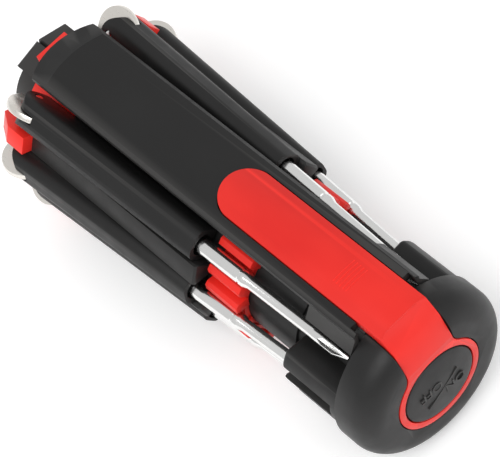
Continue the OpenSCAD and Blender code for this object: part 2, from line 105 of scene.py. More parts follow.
class MouldingSizes(bpy.types.PropertyGroup):
    """Sizes of edges, ridges and marks, and the lift of the floor."""
    body_edge: length("Body edge", "Rounding of the body's edges", 0.35 * MM)
    plate_edge: length("Plate edge", "Rounding of the steel plates", 0.25 * MM)
    handle_round: length("Handle rounding", "Rounding of a handle's long outer edges", 2.8 * MM)
    handle_edge: length("Handle edge", "Rounding of a handle's other edges", 0.5 * MM)
    petal_round: length("Petal rounding", "Rounding of the petals on the rear cap", 0.9 * MM)
    grip_rise: length("Grip rise", "Radius of the thumb ridges on the door", 0.22 * MM)
    letter: length("Letter size", "Height of the marks on the button", 3.0 * MM)
    floor_glow: FloatProperty(
        name="Floor glow", description="How much the floor is lifted to white", default=0.14)


# sizes in millimetres, down to the tones of the finishes

# points closer than MERGE are merged, places closer than NEAR count as the same
# and cutters reach BEYOND a piece; faces that turn by less than FLAT_ANGLE are made one
MERGE = 0.002
NEAR = 0.05
BEYOND = 10.0
FLAT_ANGLE = math.radians(1)
DRILL_SIDES = 64

# handle, measured from its hinge with the shaft along -x
TILT = math.radians(3)
HANDLE_LEN = 58.96
HANDLE_HALF = 4.0
HANDLE_TOP = 5.4
FLANK_Z = 1.0
FLANK_SLANT = 1.0
NOSE_X = -3.1
NOSE_Z = 0.1
NOSE_R = 5.6
NOSE_LOW = -4.2
NOSE_STEPS = 14
SHOULDER_STEPS = 9
MOUTH_LOW = -1.3
MOUTH_R = 2.7
MOUTH_DEPTH = 1.5
SLOT_R = 7.0
SLOT_T = 2.2
SLOT_REACH = 9.0
PIN_R = 1.15

# shaft, measured along -x from the hinge
SHAFT_Z = 2.0
SHAFT_R = 2.0
THIN_R = 1.5
ROOT_X = -8.6
COLLAR_X = -73.46
COLLAR_CONE = 1.5
GROOVE_AHEAD = 1.5
GROOVE_HALF = 0.4
GROOVE_DEPTH = 0.2
TIP_X = -104.7

# flat blade with its width for each driver that has one, and shares of its thickness towards the end
BLADE_WIDTHS = {2: 5.0, 4: 4.4, 6: 3.8, 8: 3.2}
BLADE_LEN = 12.0
BLADE_SINK = 0.6
BLADE_ROOT_HALF = 1.05
BLADE_HALF_T = 1.0
FLARE_SHARE = 0.45
FLARE_THIN = 0.66
END_THIN = 0.4
BLADE_EDGE = 0.08

# cross point, with half the thickness of its wings
POINT_LEN = 12.0
POINT_R = 1.7
POINT_END_R = 0.45
SWELL_SHARE = 0.8
CONE_SHARE = 0.3
WING_HALF = 0.54
FLUTE_LEN = 7.0
FLUTE_RUN_OUT = 2.4

# rear cap, tail button and thumb ridges, measured from the button's face and from the tool's axis
CAP_RIM = 11.4
PETAL_FRONT = 29.0
PETAL_CORNER_R = 19.885
PETAL_SEGMENTS = 4
BUTTON_R = 10.05
DOME_RISE = 0.7
DOME_INSET = 0.5
DOME_STEPS = 8
RIM_REAR = 0.8
RIM_REAR_R = 9.85
RIM_FRONT = 1.1
BUTTON_STEPS = 96
FLANGE_R = 10.95
FLANGE_REAR = 3.6
FLANGE_FRONT = 5.0
PLUNGER_R = 2.5
PLUNGER_FRONT = 6.2
GRIP_COUNT = 5
GRIP_START = 20.5
GRIP_PITCH = 1.0
GRIP_R = 23.72
GRIP_SWEEP = math.radians(16)
GRIP_TURNS = (0, 1.05, 2.1, 3.14, 4.19, 5.24, 6.28)
GRIP_STEPS = 16

# switch words as text, place across and place down, and the stroke between them
MARKS = (("ON", -3.5, 0.9), ("OFF", 3.0, -2.8))
MARK_SCALE = 1.25
MARK_HALF_T = 0.22
MARK_SINK = 0.12
STROKE_START = (-5.0, 1.75)
STROKE_END = (4.9, -3.65)
STROKE_HALF = 0.15
STROKE_RISE = 0.1
STROKE_DEPTH = 0.6

# cells, one of them the other way round, and the coil springs behind them
CELLS = (1, 2, 3)
TURNED_CELL = 2
CELL_LEN = 44.5
CELL_R = 5.25
CELL_CHAMFER = 0.2
CELL_LIP = 0.15
CELL_STEPS = 64
ROLL_LEN = 0.3
ROLL_IN = 0.25
SEAL_RISE = 0.1
SEAL_R = 3.4
CELL_NUB = 1.0
NUB_R = 1.9
WIRE_R = 0.22
WIRE_SIDES = 10
COIL_R = 2.0
COIL_PITCH = 0.46
COIL_TURNS = 3
COIL_STEPS = 28
COIL_BEHIND = 1.75

# finishes: sizes of the tone, gloss and grain patterns, shine, and where pointed edges start to take a
# painted highlight
CLOUD_SIZE = 22.0
GLOSS_SIZE = 5.0
GRAIN_SIZE = 0.32
POLISH_SIZE = 6.0
STREAK_SIZE = 0.25
STREAK_DEPTH = 0.01
HAZE_SIZE = 3.0
PLASTIC_SHINE = 0.28
HIGHLIGHT_START = 0.53
HIGHLIGHT_FULL = 0.62

# main, second and, for plastics, edge tones of the finishes that a user has no need to change; an edge tone
# is a painted highlight on convex edges
CASE_GREYS = ((0.08, 0.08, 0.085), (0.1, 0.1, 0.1), (0.14, 0.14, 0.14))
BOARD_GREENS = ((0.03, 0.17, 0.06), (0.04, 0.21, 0.08), (0.1, 0.3, 0.15))
EPOXY_TONES = ((0.85, 0.84, 0.72), (0.92, 0.9, 0.8), (1, 1, 0.95))
BOWL_TONES = ((0.86, 0.86, 0.87), (0.8, 0.8, 0.82))
JACKET_TONES = ((0.42, 0.43, 0.44), (0.36, 0.37, 0.38))
WINDOW_TONE = (0.97, 0.98, 1, 1)

# stage in metres, with the floor's gap and the lens in millimetres: name, place, width and power of each
# light, then the sky, the floor and the camera fitted to the photo
LIGHTS = (("key_light", (-0.25, 0.45, 0.75), 0.6, 4.2), ("fill_light", (-0.6, -0.3, 0.5), 0.5, 0.9))
SKY_STRENGTH = 0.75
FLOOR_WIDTH = 4
FLOOR_GAP = 0.35
FOCAL_LENGTH = 188
SENSOR_WIDTH = 36
CAMERA_PLACE = (-0.3151, 0.1339, 0.5205)
CAMERA_RIGHT = (-0.6666, -0.7103, -0.2265)
CAMERA_UP = (0.5350, -0.6673, 0.5183)
CAMERA_BACK = (-0.5192, 0.2242, 0.8247)


def arm_place(number):
    """Frame of a folded driver: hinge at the origin, y along the pin, z outward, the shaft along -x."""
    hinge = HINGES[f"driver_{number}"]
    pin = Vector(hinge["axis"])
    outward = Vector((1, 0, 0)).cross(pin)
    turned = Matrix(((1, 0, 0), tuple(pin), tuple(outward))).transposed().to_4x4()
    return Matrix.Translation(hinge["pos_m"]) @ turned


# modelling steps

def clear_selection():
    """Leaves edit mode with nothing selected."""
    if bpy.context.mode != "OBJECT":
        bpy.ops.object.mode_set(mode="OBJECT")
    bpy.ops.object.select_all(action="DESELECT")


def take(piece):
    """Makes one piece the only selected and active one."""
    clear_selection()
    piece.select_set(True)
    bpy.context.view_layer.objects.active = piece


def round_edges(piece, width, segments=2, sharpest=30):
    """Rounds every edge that is sharper than an angle in degrees."""
    take(piece)
    rounding = piece.modifiers.new("rounding", "BEVEL")
    rounding.width = width
    rounding.segments = segments
    rounding.limit_method = "ANGLE"
    rounding.angle_limit = math.radians(sharpest)
    bpy.ops.object.modifier_apply(modifier=rounding.name)


def walk(name, points):
    """A chain of edges through places in millimetres, left in edit mode and selected."""
    clear_selection()
    bpy.ops.mesh.primitive_plane_add(size=MM)
    piece = bpy.context.object
    piece.name = name
    bpy.ops.object.mode_set(mode="EDIT")
    bpy.ops.mesh.select_mode(type="VERT")
    bpy.ops.mesh.select_all(action="SELECT")
    bpy.ops.mesh.merge(type="CENTER")
    places = [Vector(point) * MM for point in points]
    bpy.ops.transform.translate(value=places[0])
    for here, there in zip(places, places[1:]):
        bpy.ops.mesh.extrude_vertices_move(TRANSFORM_OT_translate={"value": there - here})
    bpy.ops.mesh.select_all(action="SELECT")
    return piece


def face_outward():
    """Points every face of the mesh in edit mode outward and leaves edit mode."""
    bpy.ops.mesh.select_all(action="SELECT")
    bpy.ops.mesh.normals_make_consistent(inside=False)
    bpy.ops.object.mode_set(mode="OBJECT")


def merge_points():
    """Merges points of the mesh in edit mode that lie together."""
    bpy.ops.mesh.select_all(action="SELECT")
    bpy.ops.mesh.remove_doubles(threshold=MERGE * MM)


def slab(name, points, *pushes):
    """A face through places in millimetres, drawn out by one push or several in turn."""
    piece = walk(name, points)
    bpy.ops.mesh.edge_face_add()
    for push in pushes:
        bpy.ops.mesh.extrude_region_move(TRANSFORM_OT_translate={"value": Vector(push) * MM})
    face_outward()
    return piece


def lathe(name, profile, steps=48):
    """A round piece about the x axis from places along x and radii in millimetres."""
    piece = walk(name, [(x, 0, radius) for x, radius in profile])
    bpy.ops.mesh.spin(steps=steps, angle=2 * math.pi, center=(0, 0, 0), axis=(1, 0, 0))
    merge_points()
    face_outward()
    return piece


def cut(piece, tool, way="DIFFERENCE"):
    """Cuts, joins or trims a piece with another one, which is used up."""
    take(piece)
    change = piece.modifiers.new("cut", "BOOLEAN")
    change.operation = way
    change.solver = "MANIFOLD"
    change.object = tool
    bpy.ops.object.modifier_apply(modifier=change.name)
    take(tool)
    bpy.ops.object.delete()
    take(piece)


def choose(piece, chosen):
    """Selects in edit mode the edges whose two ends pass a test of their place in millimetres."""
    take(piece)
    bpy.ops.object.mode_set(mode="EDIT")
    bpy.ops.mesh.select_mode(type="EDGE")
    bpy.ops.mesh.select_all(action="DESELECT")
    bpy.ops.object.mode_set(mode="OBJECT")
    points = [vertex.co / MM for vertex in piece.data.vertices]
    for edge in piece.data.edges:
        edge.select = all(chosen(points[number]) for number in edge.vertices)
    bpy.ops.object.mode_set(mode="EDIT")


def soften(piece, width, segments, chosen):
    """Rounds the chosen edges."""
    choose(piece, chosen)
    bpy.ops.mesh.bevel(offset=width, segments=segments, profile=0.5, affect="EDGES")
    bpy.ops.object.mode_set(mode="OBJECT")


def copy_of(piece, name):
    """A copy with a mesh of its own."""
    take(piece)
    bpy.ops.object.duplicate(linked=False)
    fresh = bpy.context.object
    fresh.name = name
    return fresh


def joined(pieces, name):
    """Several pieces made one."""
    clear_selection()
    for piece in pieces:
        piece.select_set(True)
    bpy.context.view_layer.objects.active = pieces[0]
    bpy.ops.object.join()
    pieces[0].name = name
    return pieces[0]


def discard(piece):
    """Takes a pattern away once its copies are made."""
    take(piece)
    bpy.ops.object.delete()


def drill(piece, radius, depth):
    """Bores a round hole along y through the origin, sizes in millimetres."""
    clear_selection()
    bpy.ops.mesh.primitive_cylinder_add(
        vertices=DRILL_SIDES, radius=radius * MM, depth=depth * MM, rotation=(math.pi / 2, 0, 0))
    cut(piece, bpy.context.object)


def soft_copy(node, name, width, rounder=None):
    """A merged copy of a CAD node with rounded edges, after a rounder has treated the edges it needs to."""
    take(frame["nodes"][node])
    bpy.ops.object.duplicate()
    piece = bpy.context.object
    piece.name = name
    bpy.ops.object.parent_clear(type="CLEAR_KEEP_TRANSFORM")
    for key in list(piece.keys()):
        del piece[key]
    bpy.ops.mesh.customdata_custom_splitnormals_clear()
    bpy.ops.object.mode_set(mode="EDIT")
    merge_points()
    bpy.ops.mesh.dissolve_limited(angle_limit=FLAT_ANGLE)
    bpy.ops.object.mode_set(mode="OBJECT")
    if rounder:
        rounder(piece)
    round_edges(piece, width)
    return piece


def complete(piece, finish, body, slot, *nodes, sharpest=35):
    """Smooths a piece, gives it its finish and puts it on its body in place of its CAD nodes."""
    take(piece)
    if not piece.data.polygons:
        raise RuntimeError(f"{piece.name} came out empty")
    bpy.ops.object.transform_apply(location=True, rotation=True, scale=True)
    bpy.ops.object.shade_smooth_by_angle(angle=math.radians(sharpest))
    piece.data.materials.clear()
    piece.data.materials.append(finish)
    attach(piece, body)
    if nodes:
        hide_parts(*nodes)


def mould(node, name, tone, body="tool_body", rounder=None, sharpest=35):
    """Puts a black or red moulding with softened edges in the place of a CAD node."""
    piece = soft_copy(node, name, bpy.context.scene.driver_sizes.body_edge, rounder)
    complete(piece, finishes()[f"{tone}_moulding"], body, f"{tone}_plastic", node, sharpest=sharpest)


# finishes

def blank_finish(name):
    """A new material with its node tree, shader and object coordinates."""
    finish = bpy.data.materials.new(name)
    finish.use_nodes = True
    shader = finish.node_tree.nodes["Principled BSDF"]
    places = finish.node_tree.nodes.new("ShaderNodeTexCoord")
    return finish, shader, places.outputs["Object"]


def noise(finish, places, size, stretch=(1, 1, 1), detail=3.0):
    """Noise whose lumps are about a size in metres, stretched along an axis."""
    tree = finish.node_tree
    mapping = tree.nodes.new("ShaderNodeMapping")
    mapping.inputs["Scale"].default_value = [1 / (size * factor) for factor in stretch]
    tree.links.new(places, mapping.inputs["Vector"])
    texture = tree.nodes.new("ShaderNodeTexNoise")
    texture.inputs["Scale"].default_value = 1.0
    texture.inputs["Detail"].default_value = detail
    tree.links.new(mapping.outputs["Vector"], texture.inputs["Vector"])
    return texture.outputs["Fac"]


def spread(finish, value, low_in, high_in, low_out, high_out):
    """A value moved from one range to another."""
    tree = finish.node_tree
    ranged = tree.nodes.new("ShaderNodeMapRange")
    ranged.inputs["From Min"].default_value = low_in
    ranged.inputs["From Max"].default_value = high_in
    ranged.inputs["To Min"].default_value = low_out
    ranged.inputs["To Max"].default_value = high_out
    tree.links.new(value, ranged.inputs["Value"])
    return ranged.outputs["Result"]


def mixed(finish, share, first, second):
    """Two colours or colour outputs mixed by a share."""
    tree = finish.node_tree
    mix = tree.nodes.new("ShaderNodeMix")
    mix.data_type = "RGBA"
    tree.links.new(share, mix.inputs["Factor"])
    for source, socket in ((first, mix.inputs["A"]), (second, mix.inputs["B"])):
        if hasattr(source, "is_output"):
            tree.links.new(source, socket)
        else:
            socket.default_value = (*source, 1)
    return mix.outputs["Result"]


def relief(finish, shader, height, depth, strength):
    """Fine bumps of a depth in metres."""
    tree = finish.node_tree
    bump = tree.nodes.new("ShaderNodeBump")
    bump.inputs["Strength"].default_value = strength
    bump.inputs["Distance"].default_value = depth
    tree.links.new(height, bump.inputs["Height"])
    tree.links.new(bump.outputs["Normal"], shader.inputs["Normal"])


def edge_share(finish):
    """How much a place lies on a convex edge, where the painted highlight goes."""
    geometry = finish.node_tree.nodes.new("ShaderNodeNewGeometry")
    return spread(finish, geometry.outputs["Pointiness"], HIGHLIGHT_START, HIGHLIGHT_FULL, 0.0, 1.0)


def moulded_plastic(name, tone, second_tone, edge_highlight, rough, grain):
    """Moulded plastic with a grain of a depth in metres, cloudy tone, uneven gloss and a painted highlight on
    its convex edges.
    """
    finish, shader, places = blank_finish(name)
    cloud = spread(finish, noise(finish, places, CLOUD_SIZE * MM, (2, 1, 1)), 0.35, 0.65, 0.0, 1.0)
    body = mixed(finish, cloud, tone, second_tone)
    # convex edges get the lighter edge tone: a painted highlight
    finish.node_tree.links.new(mixed(finish, edge_share(finish), body, edge_highlight), shader.inputs["Base Color"])
    shader.inputs["Specular IOR Level"].default_value = PLASTIC_SHINE
    gloss = spread(finish, noise(finish, places, GLOSS_SIZE * MM), 0.3, 0.7, rough - 0.05, rough + 0.06)
    finish.node_tree.links.new(gloss, shader.inputs["Roughness"])
    relief(finish, shader, noise(finish, places, GRAIN_SIZE * MM, detail=2.0), grain, 0.35)
    return finish


def drawn_metal(name, tone, second_tone, rough, streak):
    """Bright metal with uneven polish and fine streaks along the tool, longer than wide by a factor."""
    finish, shader, places = blank_finish(name)
    shader.inputs["Metallic"].default_value = 1.0
    cloud = noise(finish, places, POLISH_SIZE * MM, (3, 1, 1))
    finish.node_tree.links.new(mixed(finish, cloud, tone, second_tone), shader.inputs["Base Color"])
    lines = noise(finish, places, STREAK_SIZE * MM, (streak, 1, 1), detail=2.0)
    gloss = spread(finish, lines, 0.25, 0.75, rough - 0.05, rough + 0.08)
    finish.node_tree.links.new(gloss, shader.inputs["Roughness"])
    relief(finish, shader, lines, STREAK_DEPTH * MM, 0.2)
    return finish


def finishes():
    """Every finish of the tool, made once and kept by name."""
    if "black_moulding" in bpy.data.materials:
        return bpy.data.materials
    look = bpy.context.scene.driver_colours
    light_black = [tone * 1.25 for tone in look.black]
    light_red = [min(1, tone * 1.15) for tone in look.red]
    # the third tone given to each plastic, light_red among them, is a painted highlight on its convex edges
    moulded_plastic("black_moulding", look.black, light_black, look.black_edge_highlight, rough=0.46, grain=0.02 * MM)
    moulded_plastic("red_moulding", look.red, look.red_deep, light_red, rough=0.36, grain=0.01 * MM)
    drawn_metal("bright_shaft", look.steel, [tone * 0.92 for tone in look.steel], rough=0.16, streak=60)
    drawn_metal("pale_plate", look.nickel, [tone * 0.94 for tone in look.nickel], rough=0.30, streak=8)
    moulded_plastic("grey_case", *CASE_GREYS, rough=0.5, grain=0.02 * MM)
    moulded_plastic("green_board", *BOARD_GREENS, rough=0.4, grain=0.01 * MM)
    moulded_plastic("lamp_epoxy", *EPOXY_TONES, rough=0.15, grain=0.005 * MM)
    drawn_metal("bright_bowl", *BOWL_TONES, rough=0.12, streak=1)
    drawn_metal("cell_jacket", *JACKET_TONES, rough=0.32, streak=20)
    clear, shader, places = blank_finish("clear_window")
    shader.inputs["Transmission Weight"].default_value = 1.0
    shader.inputs["IOR"].default_value = 1.49
    shader.inputs["Base Color"].default_value = WINDOW_TONE
    haze = spread(clear, noise(clear, places, HAZE_SIZE * MM), 0.3, 0.7, 0.02, 0.06)
    clear.node_tree.links.new(haze, shader.inputs["Roughness"])
    return bpy.data.materials


# shapes for the operators below

def handle_pattern(sizes):
    """One handle at its hinge: round-nosed bar with a slot for the plate and a mouth for the shaft."""
    start = math.asin((HANDLE_TOP - NOSE_Z) / NOSE_R)
    stop = math.asin((NOSE_LOW - NOSE_Z) / NOSE_R)
    turns = [start + (stop - start) * k / NOSE_STEPS for k in range(NOSE_STEPS + 1)]
    nose = [(NOSE_X + NOSE_R * math.cos(a), NOSE_Z + NOSE_R * math.sin(a)) for a in turns]
    outline = [(-HANDLE_LEN, HANDLE_TOP), *nose, (NOSE_X, NOSE_LOW), (-HANDLE_LEN, MOUTH_LOW)]
    piece = slab("handle_pattern", [(x, -2 * HANDLE_HALF, z) for x, z in outline], (0, 4 * HANDLE_HALF, 0))
    trim_to_section(piece, sizes.handle_round / MM)
    round_edges(piece, sizes.handle_edge, segments=3, sharpest=40)
    drill(piece, SLOT_R, SLOT_T)
    corners = ((0, -SLOT_R), (SLOT_REACH, -SLOT_R), (SLOT_REACH, SLOT_R), (0, SLOT_R))
    cut(piece, slab("slot_front", [(x, -SLOT_T / 2, z) for x, z in corners], (0, SLOT_T, 0)))
    drill(piece, PIN_R, 2 * BEYOND)
    far = -HANDLE_LEN - BEYOND
    floor = MOUTH_DEPTH - HANDLE_LEN
    mouth = lathe("mouth", [(far, 0), (far, MOUTH_R), (floor, MOUTH_R), (floor, 0)])
    take(mouth)
    bpy.ops.transform.translate(value=(0, 0, SHAFT_Z * MM))
    cut(piece, mouth)
    return piece


def trim_to_section(piece, radius):
    """Trims a handle to its section: slanted below, upright flanks and shoulders of a radius on top."""
    turns = [math.pi / 2 * k / SHOULDER_STEPS for k in range(SHOULDER_STEPS + 1)]
    shoulder = [(HANDLE_HALF - radius + radius * math.cos(a), HANDLE_TOP - radius + radius * math.sin(a))
                for a in turns]
    right = [(HANDLE_HALF - FLANK_SLANT, NOSE_LOW - 1), (HANDLE_HALF, FLANK_Z), *shoulder]
    left = [(-y, z) for y, z in reversed(right)]
    section = [(-HANDLE_LEN - BEYOND, y, z) for y, z in right + left]
    cut(piece, slab("handle_section", section, (HANDLE_LEN + 2 * BEYOND, 0, 0)), "INTERSECT")


def on_petal_edge(place):
    """Whether a place in millimetres lies on a petal's front face or outer corner."""
    ahead = place.x - TAIL_X / MM
    reach = math.hypot(place.y, place.z - AXIS_Z / MM)
    return ahead > PETAL_FRONT - NEAR or (ahead > CAP_RIM and abs(reach - PETAL_CORNER_R) < NEAR)


def shaft_pattern(tip):
    """Round shaft with a collar and a turned tip, given as places along x and radii in millimetres."""
    groove = COLLAR_X + GROOVE_AHEAD
    groove_floor = GROOVE_HALF - GROOVE_DEPTH
    return lathe("shaft_pattern", [
        (ROOT_X, 0), (ROOT_X, SHAFT_R),
        (groove + GROOVE_HALF, SHAFT_R), (groove + groove_floor, SHAFT_R - GROOVE_DEPTH),
        (groove - groove_floor, SHAFT_R - GROOVE_DEPTH), (groove - GROOVE_HALF, SHAFT_R),
        (COLLAR_X, SHAFT_R), (COLLAR_X - COLLAR_CONE, THIN_R), *tip, (tip[-1][0], 0)])


def thin_blade(blade, x, share):
    """Thins a blade at a place along x to a share of its thickness."""
    choose(blade, lambda place: abs(place.x - x) < NEAR)
    bpy.ops.transform.resize(value=(1, share, 1), center_override=(0, 0, 0))
    bpy.ops.object.mode_set(mode="OBJECT")


def flat_shaft(number):
    """Shaft with a flared flat blade, thinned to its end."""
    half = BLADE_WIDTHS[number] / 2
    flare = TIP_X + FLARE_SHARE * BLADE_LEN
    root = TIP_X + BLADE_LEN + BLADE_SINK
    edge = [(TIP_X, half), (flare, half), (root, BLADE_ROOT_HALF)]
    outline = edge + [(x, -z) for x, z in reversed(edge)]
    blade = slab("blade", [(x, -BLADE_HALF_T, z) for x, z in outline], (0, 2 * BLADE_HALF_T, 0))
    thin_blade(blade, TIP_X, END_THIN)
    thin_blade(blade, flare, FLARE_THIN)
    round_edges(blade, BLADE_EDGE * MM, sharpest=25)
    shaft = shaft_pattern([(TIP_X + BLADE_LEN, THIN_R)])
    cut(shaft, blade, "UNION")
    return shaft


def flute_tool(turn):
    """Cutter for one flute of a cross point, which runs out towards the shaft, turned about the shaft."""
    far = 3 * THIN_R
    rise = POINT_R - WING_HALF
    corners = ((WING_HALF, WING_HALF), (far, WING_HALF), (far, far), (WING_HALF, far))
    outline = [(TIP_X - 1, y, z) for y, z in corners]
    tool = slab("flute", outline, (1 + FLUTE_LEN, 0, 0), (FLUTE_RUN_OUT, rise, rise))
    tool.rotation_euler.x = turn
    bpy.ops.object.transform_apply(rotation=True)
    return tool


def cross_shaft():
    """Shaft with a cross point of four flutes, a little thicker than the shaft."""
    shaft = shaft_pattern([
        (TIP_X + POINT_LEN, THIN_R), (TIP_X + SWELL_SHARE * POINT_LEN, POINT_R),
        (TIP_X + CONE_SHARE * POINT_LEN, POINT_R), (TIP_X, POINT_END_R)])
    for quarter in range(4):
        cut(shaft, flute_tool((quarter + 0.5) * math.pi / 2))
    return shaft


def thumb_ridge(number, rise):
    """One low six-sided ridge across the door, curved about the tool's axis."""
    middle = GRIP_START + number * GRIP_PITCH
    ring = [(middle + rise * math.cos(a), 0, GRIP_R + rise * math.sin(a)) for a in GRIP_TURNS]
    ridge = walk(f"ridge_{number}", ring)
    bpy.ops.transform.rotate(value=-GRIP_SWEEP / 2, orient_axis="X", center_override=(0, 0, 0))
    bpy.ops.mesh.spin(steps=GRIP_STEPS, angle=GRIP_SWEEP, center=(0, 0, 0), axis=(1, 0, 0))
    merge_points()
    bpy.ops.mesh.fill_holes(sides=0)
    face_outward()
    return ridge


def switch_word(word, across, down, size):
    """A raised word on the button's face, placed in millimetres from its middle."""
    clear_selection()
    bpy.ops.object.text_add()
    mark = bpy.context.object
    mark.data.body = word
    mark.data.align_x = "CENTER"
    mark.data.size = size
    mark.data.extrude = MARK_HALF_T * MM
    bpy.ops.object.convert(target="MESH")
    facing = Matrix(((0, 0, -1), (1, 0, 0), (0, -1, 0))).to_4x4()
    place = (TAIL_X + MARK_SINK * MM, across * MM, AXIS_Z - down * MM)
    mark.matrix_world = Matrix.Translation(place) @ facing
    return mark


def switch_stroke():
    """The raised stroke between the two words."""
    corners = [(*STROKE_START, 1), (*STROKE_END, 1), (*STROKE_END, -1), (*STROKE_START, -1)]
    outline = [(-STROKE_RISE, y, z + side * STROKE_HALF) for y, z, side in corners]
    stroke = slab("slash", outline, (STROKE_DEPTH, 0, 0))
    stroke.matrix_world = Matrix.Translation((TAIL_X, 0, AXIS_Z))
    return stroke


def cell_pattern():
    """One round cell with a crimped jacket and a contact nub, from its flat end along x."""
    shoulder = CELL_LEN - CELL_NUB
    seal = shoulder - SEAL_RISE
    lip_r = CELL_R - CELL_CHAMFER
    base_r = lip_r - CELL_LIP
    rear = [(0, 0), (0, base_r - CELL_CHAMFER), (CELL_CHAMFER, base_r), (CELL_CHAMFER, lip_r)]
    jacket = [(2 * CELL_CHAMFER, CELL_R), (seal - ROLL_LEN, CELL_R), (seal, CELL_R - ROLL_IN)]
    front = [(seal, SEAL_R), (shoulder, SEAL_R - 2 * SEAL_RISE)]
    nub = [(shoulder, NUB_R), (CELL_LEN - SEAL_RISE, NUB_R), (CELL_LEN, NUB_R - 2 * SEAL_RISE), (CELL_LEN, 0)]
    return lathe("cell_pattern", rear + jacket + front + nub, CELL_STEPS)


def contact_coil(place):
    """A wire ring wound to a short coil along x from a place in metres."""
    clear_selection()
    bpy.ops.mesh.primitive_circle_add(
        vertices=WIRE_SIDES, radius=WIRE_R * MM, rotation=(math.pi / 2, 0, 0), location=(0, 0, COIL_R * MM))
    coil = bpy.context.object
    bpy.ops.object.transform_apply(location=True, rotation=True, scale=True)
    winding = coil.modifiers.new("winding", "SCREW")
    winding.axis = "X"
    winding.screw_offset = COIL_PITCH * MM
    winding.iterations = COIL_TURNS
    winding.steps = COIL_STEPS
    winding.render_steps = COIL_STEPS
    bpy.ops.object.modifier_apply(modifier=winding.name)
    coil.matrix_world = Matrix.Translation(place)
    bpy.ops.object.transform_apply(location=True)
    return coil


# stage

def floor_finish(scene):
    """Pale paper, lifted to white where the camera, a reflection or the window sees it."""
    paper = bpy.data.materials.new("pale_paper")
    paper.use_nodes = True
    tree = paper.node_tree
    shader = tree.nodes["Principled BSDF"]
    shader.inputs["Base Color"].default_value = (*scene.driver_colours.floor, 1)
    shader.inputs["Roughness"].default_value = 0.9
    shader.inputs["Specular IOR Level"].default_value = 0.1
    shader.inputs["Emission Color"].default_value = (1, 1, 1, 1)
    seen = tree.nodes.new("ShaderNodeLightPath")
    glow = None
    for ray in ("Is Camera Ray", "Is Glossy Ray", "Is Transmission Ray"):
        share = tree.nodes.new("ShaderNodeMath")
        share.operation = "MULTIPLY_ADD"
        share.inputs[1].default_value = scene.driver_sizes.floor_glow
        share.inputs[2].default_value = 0.0
        tree.links.new(seen.outputs[ray], share.inputs[0])
        if glow:
            tree.links.new(glow, share.inputs[2])
        glow = share.outputs["Value"]
    tree.links.new(glow, shader.inputs["Emission Strength"])
    return paper


def add_floor(scene):
    """Lays a floor just below the tool, tilted to follow the rear cap and the lowest plates."""
    clear_selection()
    bpy.ops.mesh.primitive_plane_add(size=FLOOR_WIDTH)
    floor = bpy.context.object
    floor.name = "floor"
    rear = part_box("rear_cap")[0]
    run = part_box("pivot_plate_4")[1].x - rear.x
    bpy.ops.transform.translate(value=(0, 0, rear.z / 2 - FLOOR_GAP * MM))
    floor.rotation_euler.y = math.atan2(rear.z, run)
    floor.data.materials.append(floor_finish(scene))


def add_lights(scene):
    """Sets a plain pale sky and two soft lights aimed at the tool."""
    world = bpy.data.worlds.new("studio")
    scene.world = world
    world.use_nodes = True
    sky = world.node_tree.nodes["Background"]
    sky.inputs["Color"].default_value = (1, 1, 1, 1)
    sky.inputs["Strength"].default_value = SKY_STRENGTH
    for name, place, width, power in LIGHTS:
        light = bpy.data.lights.new(name, "AREA")
        light.energy = power
        light.size = width
        holder = bpy.data.objects.new(name, light)
        scene.collection.objects.link(holder)
        holder.location = place
        aim = Vector((0, 0, AXIS_Z)) - Vector(place)
        holder.rotation_euler = aim.to_track_quat("-Z", "Y").to_euler()


def add_camera(scene):
    """Sets the camera where the photo was taken from."""
    lens = bpy.data.cameras.new("photo_camera")
    lens.lens = FOCAL_LENGTH
    lens.sensor_width = SENSOR_WIDTH
    lens.clip_start = 0.01
    camera = bpy.data.objects.new("photo_camera", lens)
    scene.collection.objects.link(camera)
    turned = Matrix((CAMERA_RIGHT, CAMERA_UP, CAMERA_BACK)).transposed().to_4x4()
    camera.matrix_world = Matrix.Translation(CAMERA_PLACE) @ turned
    scene.camera = camera


# operators, one for each piece or group of like pieces

class DRIVER_OT_core(bpy.types.Operator):
    """Softens the edges of the core and the lamp crown"""
    bl_idname = "driver.core"
    bl_label = "Core and crown"

    def execute(self, context):
        for node in ("core_body", "lamp_bezel"):
            mould(node, f"{node}_moulding", "black")
        return {"FINISHED"}


class DRIVER_OT_cover(bpy.types.Operator):
    """Softens the edges of the flat top cover and keeps its crease"""
    bl_idname = "driver.cover"
    bl_label = "Top cover"

    def execute(self, context):
        mould("top_cover", "cover_moulding", "black", sharpest=12)
        return {"FINISHED"}


class DRIVER_OT_cap(bpy.types.Operator):
    """Softens the edges of the rear cap and rounds its petals"""
    bl_idname = "driver.cap"
    bl_label = "Rear cap"

    def execute(self, context):
        width = context.scene.driver_sizes.petal_round

        def rounder(piece):
            soften(piece, width, PETAL_SEGMENTS, on_petal_edge)

        mould("rear_cap", "cap_moulding", "black", rounder=rounder)
        return {"FINISHED"}


class DRIVER_OT_hub(bpy.types.Operator):
    """Softens the edges of the red hub and the two clip racks"""
    bl_idname = "driver.hub"
    bl_label = "Hub and clips"

    def execute(self, context):
        for node in ("front_hub", "clip_rack_left", "clip_rack_right"):
            mould(node, f"{node}_moulding", "red")
        return {"FINISHED"}


class DRIVER_OT_door(bpy.types.Operator):
    """Softens the edges of the battery door and lays the thumb ridges on it"""
    bl_idname = "driver.door"
    bl_label = "Battery door"

    def execute(self, context):
        mould("battery_door", "door_moulding", "red", "battery_door")
        rise = context.scene.driver_sizes.grip_rise / MM
        grips = joined([thumb_ridge(k, rise) for k in range(GRIP_COUNT)], "door_grips")
        grips.matrix_world = Matrix.Translation((TAIL_X, 0, AXIS_Z))
        complete(grips, finishes()["red_moulding"], "battery_door", "red_plastic")
        return {"FINISHED"}


